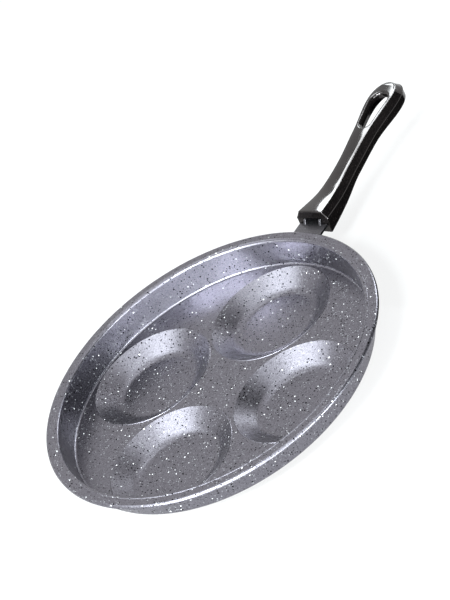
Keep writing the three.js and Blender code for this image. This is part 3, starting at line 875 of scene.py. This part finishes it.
def white_room(ambient):
    """A world that looks white, and gives less soft light than it shows."""
    world = bpy.data.worlds.new("white_room")
    world.use_nodes = True
    bpy.context.scene.world = world
    tree = world.node_tree
    background = tree.nodes["Background"]
    background.inputs["Color"].default_value = (1, 1, 1, 1)
    level = tree.nodes.new("ShaderNodeMapRange")
    tree.links.new(seen_or_mirrored(tree), level.inputs["Value"])
    level.inputs["To Min"].default_value = ambient
    level.inputs["To Max"].default_value = 1
    tree.links.new(level.outputs["Result"], background.inputs["Strength"])


def white_floor(glow):
    """A matt floor that keeps the shadow and shows mostly as white."""
    bpy.ops.object.select_all(action="DESELECT")
    bpy.ops.mesh.primitive_plane_add(size=GROUND_SIZE, location=(0, 0, GROUND_HEIGHT))
    floor = bpy.context.object
    floor.name = "floor"
    finish = bpy.data.materials.new("white_floor")
    finish.use_nodes = True
    tree = finish.node_tree
    tree.nodes.remove(tree.nodes["Principled BSDF"])
    matt = tree.nodes.new("ShaderNodeBsdfDiffuse")
    matt.inputs["Color"].default_value = GROUND_WHITE
    light = tree.nodes.new("ShaderNodeEmission")
    level = tree.nodes.new("ShaderNodeMath")
    level.operation = "MULTIPLY"
    tree.links.new(seen_or_mirrored(tree), level.inputs[0])
    level.inputs[1].default_value = glow
    mixed = tree.nodes.new("ShaderNodeMixShader")
    tree.links.new(level.outputs[0], mixed.inputs["Fac"])
    tree.links.new(matt.outputs[0], mixed.inputs[1])
    tree.links.new(light.outputs[0], mixed.inputs[2])
    tree.links.new(mixed.outputs[0], tree.nodes["Material Output"].inputs["Surface"])
    floor.data.materials.append(finish)


def facing(place, aim):
    return (place - aim).to_track_quat("Z", "Y").to_euler()


def softbox(name, place, aim, size, power, only=None):
    """A soft lamp aimed at a place. It lights one piece alone where that is named."""
    data = bpy.data.lights.new(name, "AREA")
    data.shape = "RECTANGLE"
    data.size, data.size_y = size
    data.energy = power
    data.color = LAMP_COLOUR
    lamp = bpy.data.objects.new(name, data)
    lamp.location = place
    lamp.rotation_euler = facing(place, aim)
    bpy.context.scene.collection.objects.link(lamp)
    if only:
        lit = bpy.data.collections.new(name)
        lit.objects.link(only)
        lamp.light_linking.receiver_collection = lit


def dark_card(name, place, aim, size):
    """A black card that only reflections show, beside or under the handle."""
    bpy.ops.object.select_all(action="DESELECT")
    bpy.ops.mesh.primitive_plane_add(size=size, location=place, rotation=facing(place, aim))
    card = bpy.context.object
    card.name = name
    card.visible_camera = False
    card.visible_shadow = False
    finish, shader = new_finish(name)
    shader.inputs["Base Color"].default_value = CARD_BLACK
    shader.inputs["Roughness"].default_value = 1
    shader.inputs["Specular IOR Level"].default_value = 0
    card.data.materials.append(finish)


def beside_pan(bearing, rise, reach):
    """A place round the pan: its bearing clockwise from straight away, its rise and its reach."""
    bearing, rise = math.radians(bearing), math.radians(rise)
    level = AWAY * math.cos(bearing) + RIGHT * math.sin(bearing)
    return PAN_CENTRE + (level * math.cos(rise) + UP * math.sin(rise)) * reach


def beside_grip(bearing, rise, reach):
    """A place round the grip: its bearing from the handle's own line, its rise and its reach."""
    bearing, rise = math.radians(bearing), math.radians(rise)
    level = Vector((math.cos(bearing), math.sin(bearing), 0))
    return GRIP_TOP + (level * math.cos(rise) + UP * math.sin(rise)) * reach


def lights(grip):
    for name, (bearing, rise, reach, size, power) in PAN_LAMPS.items():
        softbox(name, beside_pan(bearing, rise, reach), PAN_CENTRE, size, power)
    for name, (bearing, rise, reach, size, power) in GRIP_LAMPS.items():
        softbox(name, beside_grip(bearing, rise, reach), GRIP_TOP, size, power, grip)
    dark_card("side_card", SIDE_CARD, GRIP_TOP, SIDE_CARD_SIZE)
    dark_card("low_card", LOW_CARD, LOW_CARD - UP, LOW_CARD_SIZE)


bpy.context.scene.view_settings.view_transform = "Standard"
camera()
white_room(ambient=0.15)
white_floor(glow=0.8)
pan_coat = stone_coat("speckled_coat", tone=(0.198, 0.191, 0.22), bold=1)
# The bracket has the pan's coat with a darker tone, which is painted shade for the bracket lying under the
# handle.
bracket_coat_painted_shade = stone_coat("bracket_coat_with_painted_shade", tone=(0.16, 0.156, 0.17), bold=0.55)
fit(pan(), "pan_body", pan_coat)
fit(bracket(), "handle_bracket", bracket_coat_painted_shade)
grip = handle()
fit(grip, "handle", phenolic())
steel = zinc_steel()
fit(screw(), "handle_screw", steel)
fit(washer(), "lock_washer", steel)
fit(nut(), "tongue_nut", steel)
lights(grip)
